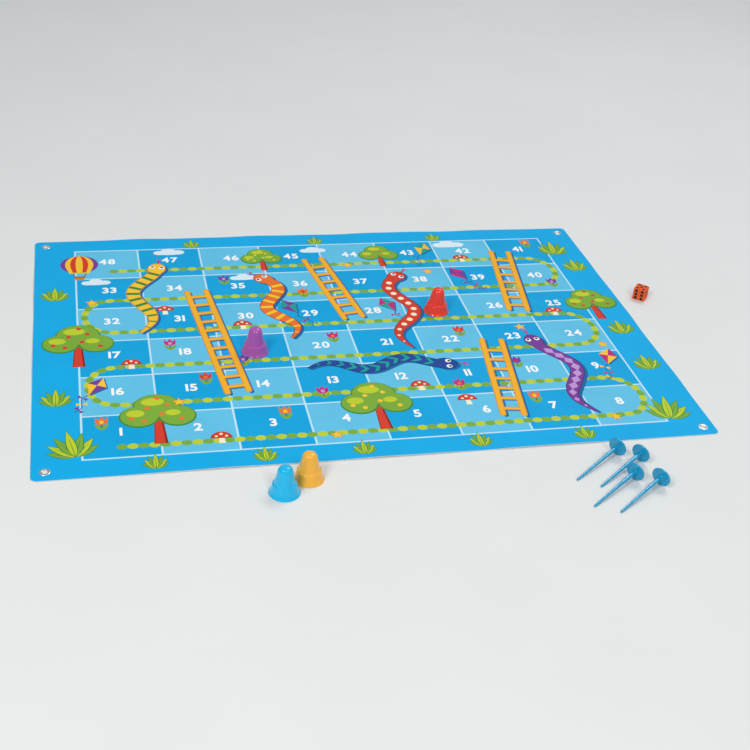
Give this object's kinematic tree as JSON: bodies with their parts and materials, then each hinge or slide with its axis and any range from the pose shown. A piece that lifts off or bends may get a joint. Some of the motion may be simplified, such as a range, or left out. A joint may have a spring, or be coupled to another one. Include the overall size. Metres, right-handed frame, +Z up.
{
  "type": "snakes and ladders board",
  "caption": "Giant floor snakes and ladders set: a printed play mat with corner eyelets, hollow bell-shaped counters, a foam die and ground pegs that pin the mat down.",
  "frame": {"origin": "middle of the mat's underside, on the ground", "axes": "+X along the rows of squares, +Y across the rows away from the edge beside square 1, +Z up"},
  "size_m": [1.4618, 1.169, 0.0616],
  "materials": {
    "printed_sheet": "soft coated cloth, printed on the upper face, satin with a fine weave",
    "eyelet_metal": "pressed, satin",
    "blue_plastic": "moulded, glossy",
    "yellow_plastic": "moulded, glossy",
    "purple_plastic": "moulded, glossy",
    "red_plastic": "moulded, glossy",
    "die_foam": null,
    "die_pip": "matte black",
    "peg_plastic": "moulded, satin"
  },
  "bodies": {
    "mat": {"mat": "printed_sheet", "front_left_eyelet": "eyelet_metal", "front_right_eyelet": "eyelet_metal", "back_left_eyelet": "eyelet_metal", "back_right_eyelet": "eyelet_metal", "front_left_washer": "eyelet_metal", "front_right_washer": "eyelet_metal", "back_left_washer": "eyelet_metal", "back_right_washer": "eyelet_metal"},
    "blue_counter": {"blue_counter": "blue_plastic"},
    "yellow_counter": {"yellow_counter": "yellow_plastic"},
    "purple_counter": {"purple_counter": "purple_plastic"},
    "red_counter": {"red_counter": "red_plastic"},
    "die": {"die_body": "die_foam", "die_pips": "die_pip"},
    "peg_1": {"peg_1": "peg_plastic"},
    "peg_2": {"peg_2": "peg_plastic"},
    "peg_3": {"peg_3": "peg_plastic"},
    "peg_4": {"peg_4": "peg_plastic"}
  },
  "joints": [
    {"name": "purple_counter_move", "type": "slide", "parent": "mat", "child": "purple_counter", "axis": [1, 0, 0], "range_m": [-0.298, 0.745]},
    {"name": "red_counter_move", "type": "slide", "parent": "mat", "child": "red_counter", "axis": [1, 0, 0], "range_m": [-0.745, 0.298]},
    {"name": "blue_counter_lift", "type": "slide", "parent": "mat", "child": "blue_counter", "axis": [0, 0, 1], "range_m": [0, 0.1]},
    {"name": "yellow_counter_lift", "type": "slide", "parent": "mat", "child": "yellow_counter", "axis": [0, 0, 1], "range_m": [0, 0.1]},
    {"name": "die_roll", "type": "hinge", "parent": "mat", "child": "die", "pos_m": [0.76248, 0.08216, 0], "axis": [0.6561, 0.7547, 0], "range_deg": [0, 90]},
    {"name": "peg_1_lift", "type": "slide", "parent": "mat", "child": "peg_1", "axis": [0, 0, 1], "range_m": [0, 0.12]},
    {"name": "peg_2_lift", "type": "slide", "parent": "mat", "child": "peg_2", "axis": [0, 0, 1], "range_m": [0, 0.12]},
    {"name": "peg_3_lift", "type": "slide", "parent": "mat", "child": "peg_3", "axis": [0, 0, 1], "range_m": [0, 0.12]},
    {"name": "peg_4_lift", "type": "slide", "parent": "mat", "child": "peg_4", "axis": [0, 0, 1], "range_m": [0, 0.12]}
  ]
}
